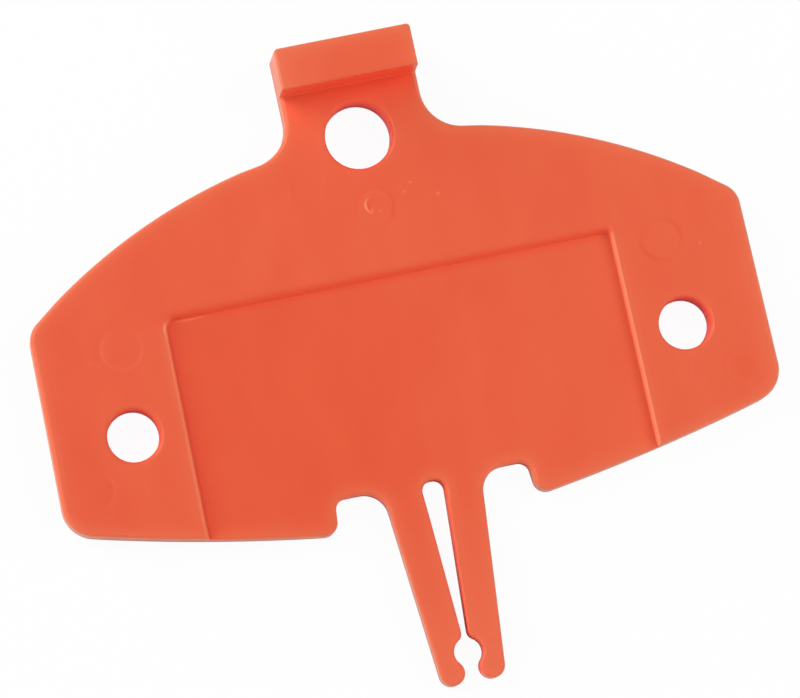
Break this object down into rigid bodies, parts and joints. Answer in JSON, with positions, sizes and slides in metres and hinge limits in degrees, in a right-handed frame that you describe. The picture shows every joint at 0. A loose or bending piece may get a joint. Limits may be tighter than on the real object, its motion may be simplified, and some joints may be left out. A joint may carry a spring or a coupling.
{
  "type": "moulded hanging plate with snap legs",
  "caption": "Flat moulded plastic plate with a hanging tab, raised grip lip, shallow label recess, side holes and spring legs that snap over a thin rod.",
  "frame": {"origin": "middle of the plate's outline, on the flat back face that it lies on", "axes": "+Z out of the front face, +Y up the plate to the hanging tab, +X to the right across the wings"},
  "size_m": [0.0702, 0.0626, 0.0065],
  "materials": {
    "moulded_plastic": "satin as-moulded orange polypropylene"
  },
  "bodies": {
    "plate": {"face_plate": "moulded_plastic", "recess_panel": "moulded_plastic", "hanging_tab": "moulded_plastic", "grip_lip": "moulded_plastic"},
    "left_leg": {"left_leg": "moulded_plastic"},
    "right_leg": {"right_leg": "moulded_plastic"}
  },
  "joints": [
    {"name": "left_leg_flex", "type": "hinge", "parent": "plate", "child": "left_leg", "pos_m": [-0.00271, -0.01539, 0], "axis": [0, 0, -1], "range_deg": [-1, 5], "stiffness_Nm_per_rad": 0.9},
    {"name": "right_leg_flex", "type": "hinge", "parent": "plate", "child": "right_leg", "pos_m": [0.00271, -0.01539, 0], "axis": [0, 0, 1], "range_deg": [-1, 5], "stiffness_Nm_per_rad": 0.9}
  ]
}
